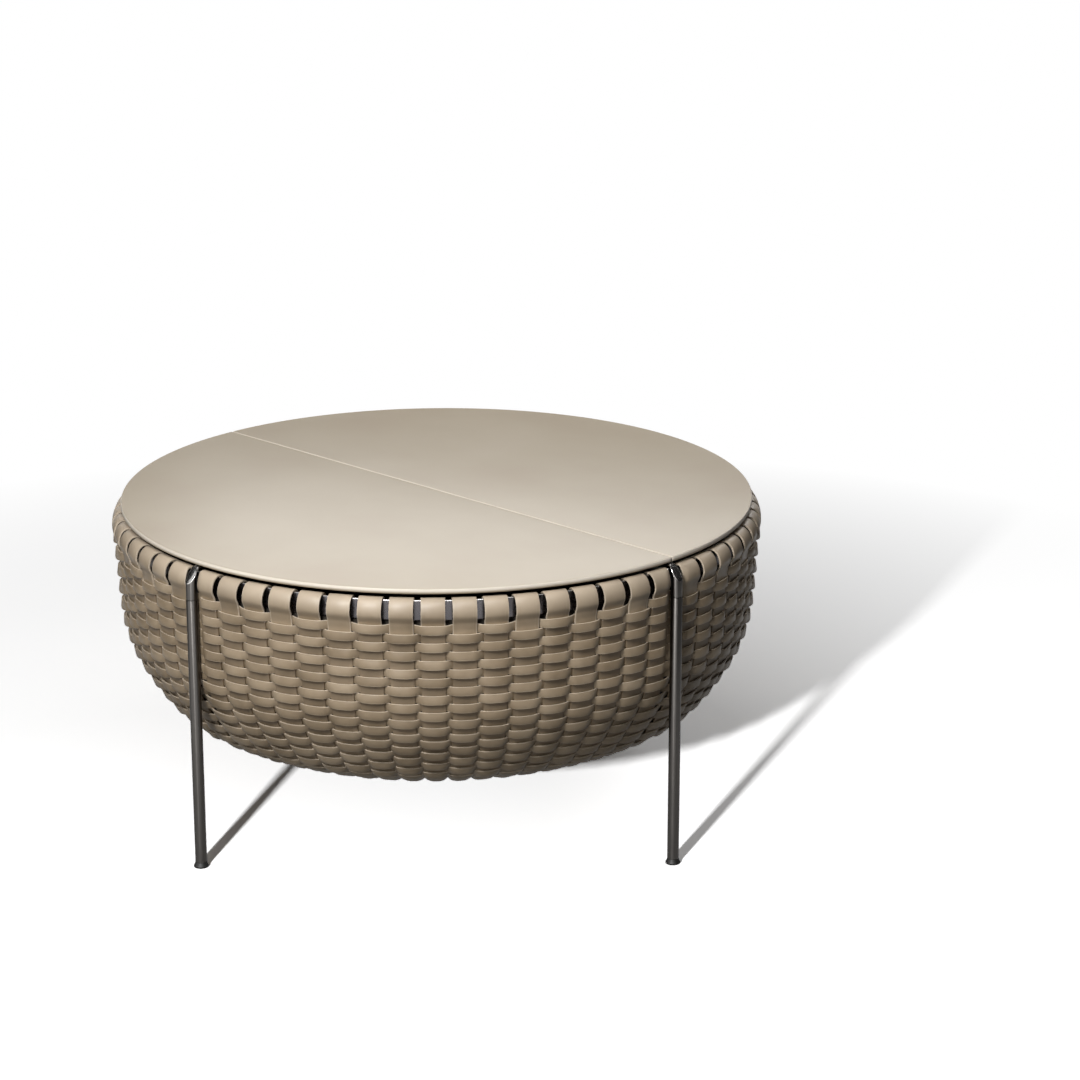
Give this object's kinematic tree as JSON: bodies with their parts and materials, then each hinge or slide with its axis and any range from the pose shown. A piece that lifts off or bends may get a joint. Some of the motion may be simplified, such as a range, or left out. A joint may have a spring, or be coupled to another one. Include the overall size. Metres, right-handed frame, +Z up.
{
  "type": "round storage coffee table",
  "caption": "Low round table: a leather top split into two half-moon leaves, one hinged, over a deep bowl woven of leather straps on slim metal legs.",
  "frame": {"origin": "on the floor under the middle of the round top", "axes": "+Z up; the seam between the two leaves and two of the legs lie along X; the leaf on the -Y side is the lid that opens"},
  "size_m": [1.0204, 1.0204, 0.48],
  "materials": {
    "top_leather": "smooth taupe hide, satin",
    "strap_leather": "saddle leather straps with pale cut edges",
    "bright_nickel": "polished nickel",
    "dark_nickel": "black nickel, semi-gloss",
    "board_wood": "raw plywood",
    "liner_felt": "pressed felt",
    "black_plastic": "matt black",
    "pad_rubber": "matt black",
    "zinc_steel": "bright zinc"
  },
  "bodies": {
    "frame": {"rim_hoop": "bright_nickel", "cross_beam": "zinc_steel", "beam_bolt_1": "zinc_steel", "beam_bolt_2": "zinc_steel", "leaf_spacer_1": "board_wood", "leaf_spacer_2": "board_wood", "leaf_screw_1": "zinc_steel", "leaf_screw_2": "zinc_steel", "leaf_screw_3": "zinc_steel", "fixed_leaf_board": "board_wood", "fixed_leaf_cover": "top_leather", "leg_head_1": "dark_nickel", "leg_head_2": "dark_nickel", "leg_head_3": "dark_nickel", "leg_head_4": "dark_nickel", "leg_arm_1": "dark_nickel", "leg_arm_2": "dark_nickel", "leg_arm_3": "dark_nickel", "leg_arm_4": "dark_nickel", "leg_tube_1": "dark_nickel", "leg_tube_2": "dark_nickel", "leg_tube_3": "dark_nickel", "leg_tube_4": "dark_nickel", "leg_foot_1": "black_plastic", "leg_foot_2": "black_plastic", "leg_foot_3": "black_plastic", "leg_foot_4": "black_plastic", "leg_bolt_1": "zinc_steel", "leg_bolt_2": "zinc_steel", "leg_bolt_3": "zinc_steel", "leg_bolt_4": "zinc_steel", "rest_pad_1": "pad_rubber", "rest_pad_2": "pad_rubber", "rest_pad_3": "pad_rubber", "rest_pad_4": "pad_rubber", "hinge_fixed_cup_1": "zinc_steel", "hinge_fixed_cup_2": "zinc_steel", "hinge_screw_1": "zinc_steel", "hinge_screw_2": "zinc_steel", "hinge_screw_3": "zinc_steel", "hinge_screw_4": "zinc_steel", "woven_basket": "strap_leather", "inner_bowl": "liner_felt", "base_plate": "black_plastic", "base_core": "board_wood", "base_screw_1": "zinc_steel", "base_screw_2": "zinc_steel", "base_screw_3": "zinc_steel"},
    "lid": {"lid_board": "board_wood", "lid_cover": "top_leather", "hinge_lid_cup_1": "zinc_steel", "hinge_lid_cup_2": "zinc_steel", "hinge_screw_5": "zinc_steel", "hinge_screw_6": "zinc_steel", "hinge_screw_7": "zinc_steel", "hinge_screw_8": "zinc_steel"},
    "hinge_links": {"hinge_link_1": "bright_nickel", "hinge_link_2": "bright_nickel"}
  },
  "joints": [
    {"name": "lid_hinge", "type": "hinge", "parent": "frame", "child": "lid", "pos_m": [0, 0, 0.48], "axis": [-1, 0, 0], "range_deg": [0, 95]},
    {"name": "link_turn", "type": "hinge", "parent": "frame", "child": "hinge_links", "pos_m": [0, 0, 0.48], "axis": [-1, 0, 0], "range_deg": [0, 47.5]}
  ],
  "couplings": [
    {"joint": "link_turn", "follows": "lid_hinge", "ratio": 0.5}
  ]
}
